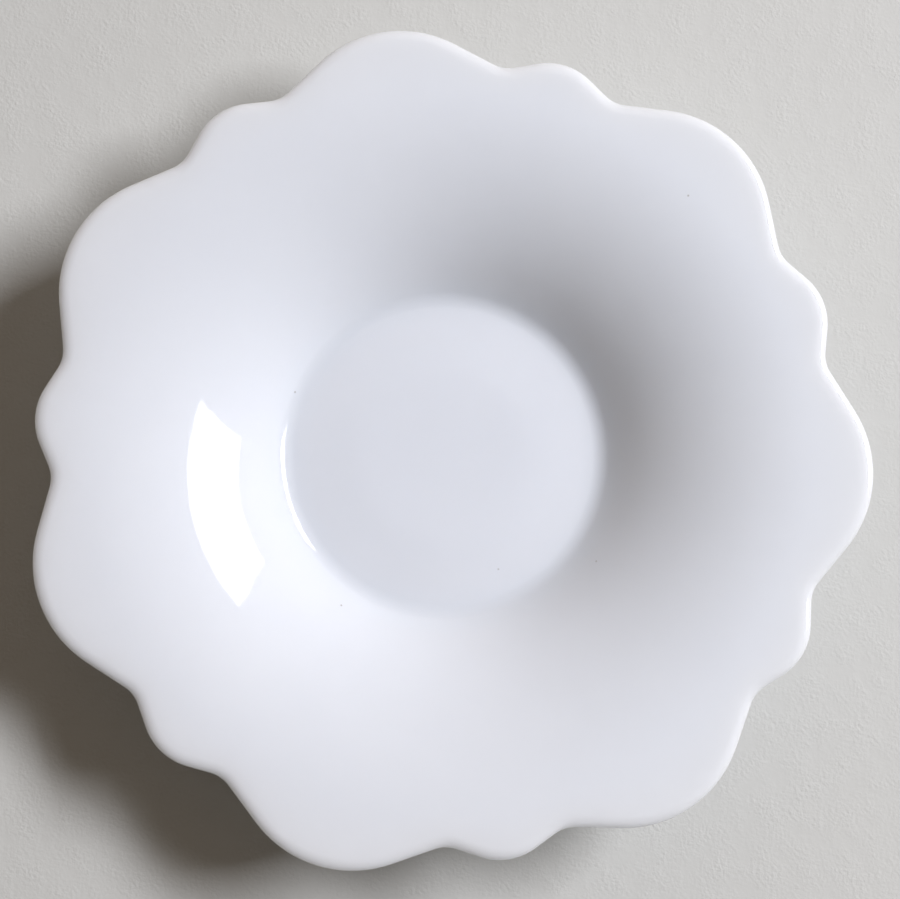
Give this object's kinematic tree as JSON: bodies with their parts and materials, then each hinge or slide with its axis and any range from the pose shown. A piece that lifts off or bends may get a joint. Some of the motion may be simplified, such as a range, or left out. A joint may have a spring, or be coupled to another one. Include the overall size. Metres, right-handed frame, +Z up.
{
  "type": "saucer",
  "caption": "Porcelain saucer with a scalloped rounded lip, a flared wall, a nearly flat well for a cup's foot and a bare foot ring, under a glossy bluish-white glaze.",
  "frame": {"origin": "on the saucer's axis, in the plane of the table that its foot ring stands on", "axes": "+Z up along the axis, out of the well; +X towards the tip of one wide lobe of the rim"},
  "size_m": [0.1564, 0.1568, 0.0228],
  "materials": {
    "porcelain": "bare fired porcelain, matt",
    "glaze": "clear glossy glaze over white ware, faintly bluish"
  },
  "bodies": {
    "root": {"porcelain_body": "porcelain", "glaze_coat": "glaze", "base_glaze": "glaze"}
  },
  "joints": []
}
